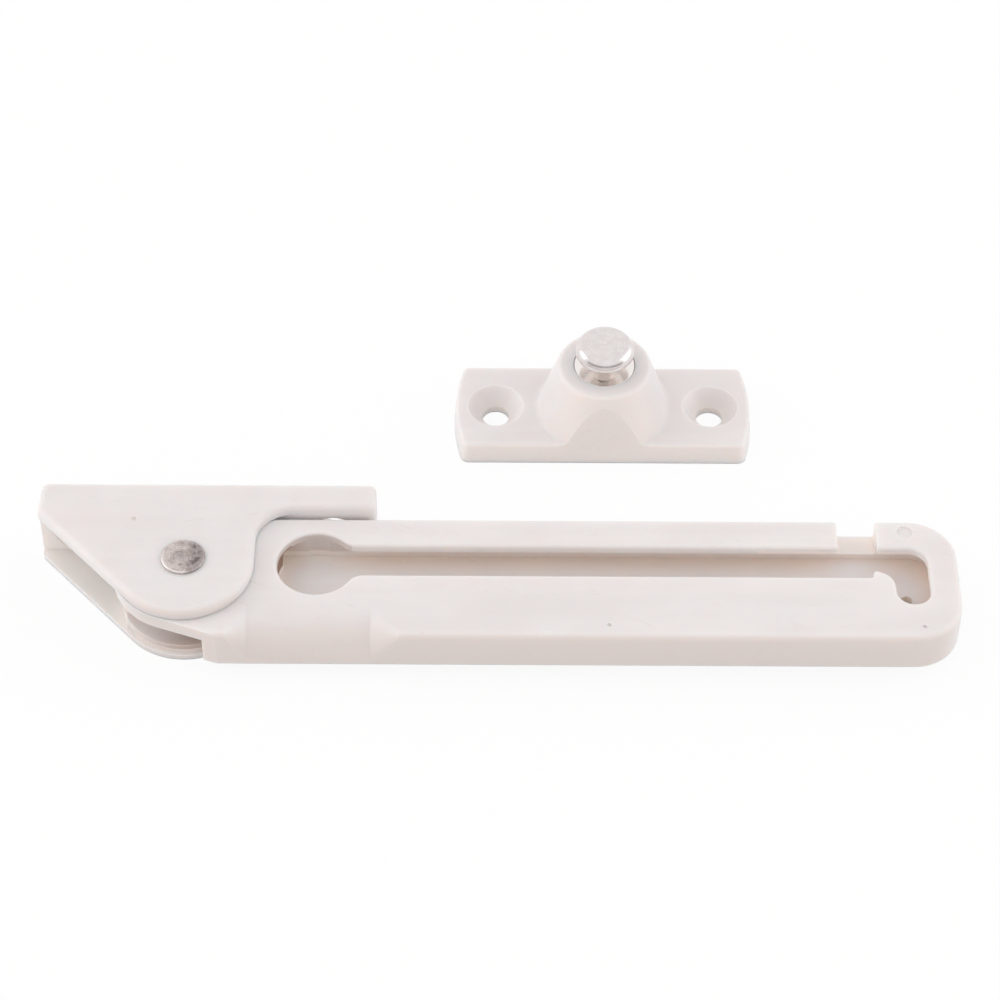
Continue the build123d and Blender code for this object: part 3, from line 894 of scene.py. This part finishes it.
# The camera: its place, its sensor and lens in millimetres, and its tilt and roll in degrees
CAMERA_PLACE = (0.00073, -0.36754, 0.41697)
CAMERA_SENSOR = 36.0
CAMERA_LENS = 115.2
CAMERA_TILT = 41.8
CAMERA_ROLL = 0.3


def is_seen_plainly(tree):
    """1 for what the camera sees by itself, in metal or through glass, and 0 for light on its
    way."""
    path = add(tree, "ShaderNodeLightPath").outputs
    seen = maths(tree, "MAXIMUM", path["Is Camera Ray"], path["Is Glossy Ray"])
    return maths(tree, "MAXIMUM", seen, path["Is Transmission Ray"])


def make_floor():
    """A pale tabletop that keeps a faint soft shadow under the pieces."""
    mesh = bpy.data.meshes.new("floor")
    corners = [(-FLOOR_REACH, -FLOOR_REACH), (FLOOR_REACH, -FLOOR_REACH)]
    corners += [(FLOOR_REACH, FLOOR_REACH), (-FLOOR_REACH, FLOOR_REACH)]
    mesh.from_pydata([(x, y, -FLOOR_SINK) for x, y in corners], [], [(0, 1, 2, 3)])
    floor = bpy.data.objects.new("floor", mesh)
    bpy.context.scene.collection.objects.link(floor)
    material = bpy.data.materials.new("pale_paper")
    material.use_nodes = True
    tree = material.node_tree
    tree.nodes.clear()
    seen = is_seen_plainly(tree)
    shade = mix_colour(tree, seen, FLOOR_SHADE, WHITE)
    paper = add(tree, "ShaderNodeBsdfDiffuse", {"Color": shade}).outputs[0]
    glow = add(tree, "ShaderNodeEmission", {"Color": WHITE, "Strength": 1.0}).outputs[0]
    share = times(tree, seen, FLOOR_GLOW)
    shown = add(tree, "ShaderNodeMixShader", {0: share, 1: paper, 2: glow})
    add(tree, "ShaderNodeOutputMaterial", {"Surface": shown.outputs[0]})
    mesh.materials.append(material)


def make_surroundings():
    """A light tent that is brightest at the left, and white where it is seen."""
    world = bpy.data.worlds.new("light_tent")
    bpy.context.scene.world = world
    world.use_nodes = True
    tree = world.node_tree
    tree.nodes.clear()
    direction = add(tree, "ShaderNodeTexCoord").outputs["Generated"]
    parts = add(tree, "ShaderNodeSeparateXYZ", {0: direction}).outputs
    strength = TENT_ALL_ROUND
    for axis, addition in TENT_SIDES:
        facing = maths(tree, "MAXIMUM", times(tree, parts[axis], addition), 0.0)
        strength = maths(tree, "ADD", facing, strength)
    tent = add(tree, "ShaderNodeBackground", {"Color": TENT_COLOUR, "Strength": strength})

    # The tent's open front shows in the metal as a dark band between floor and ceiling
    across = times(tree, maths(tree, "ABSOLUTE", parts["X"]), OPENING_NARROWNESS)
    ahead = maths(tree, "SUBTRACT", times(tree, parts["Y"], -1.0), across)
    opening = ramp(tree, ahead, 0.0, 0.12)
    opening = times(tree, opening, ramp(tree, parts["Z"], *OPENING_FOOT))
    opening = times(tree, opening, fall(tree, parts["Z"], *OPENING_HEAD))
    in_metal = add(tree, "ShaderNodeLightPath").outputs["Is Glossy Ray"]
    opening = times(tree, opening, in_metal)
    mirrored = maths(tree, "SUBTRACT", 1.0, times(tree, opening, OPENING_DARKNESS))
    white = add(tree, "ShaderNodeBackground", {"Color": WHITE, "Strength": mirrored})
    inputs = {0: is_seen_plainly(tree), 1: tent.outputs[0], 2: white.outputs[0]}
    shown = add(tree, "ShaderNodeMixShader", inputs)
    add(tree, "ShaderNodeOutputWorld", {"Surface": shown.outputs[0]})


def add_softbox(name, place, width, power):
    """A square area lamp aimed at the middle of the set."""
    lamp = bpy.data.lights.new(name, "AREA")
    lamp.shape = "SQUARE"
    lamp.size = width
    lamp.energy = power
    made = bpy.data.objects.new(name, lamp)
    made.location = place
    made.rotation_euler = (-Vector(place)).to_track_quat("-Z", "Y").to_euler()
    bpy.context.scene.collection.objects.link(made)


def make_camera():
    """The photograph's view: from the front, 48 degrees down, with a long lens."""
    data = bpy.data.cameras.new("camera")
    data.sensor_width = CAMERA_SENSOR
    data.lens = CAMERA_LENS
    data.clip_start = 0.01
    data.clip_end = 20.0
    camera = bpy.data.objects.new("camera", data)
    camera.location = CAMERA_PLACE
    tilt = Matrix.Rotation(math.radians(CAMERA_TILT), 3, "X")
    roll = Matrix.Rotation(math.radians(CAMERA_ROLL), 3, "Z")
    camera.rotation_euler = (tilt @ roll).to_euler()
    bpy.context.scene.collection.objects.link(camera)
    bpy.context.scene.camera = camera


make_camera()
make_floor()
make_surroundings()
for softbox in SOFTBOXES:
    add_softbox(*softbox)
bpy.context.scene.view_settings.view_transform = "Standard"
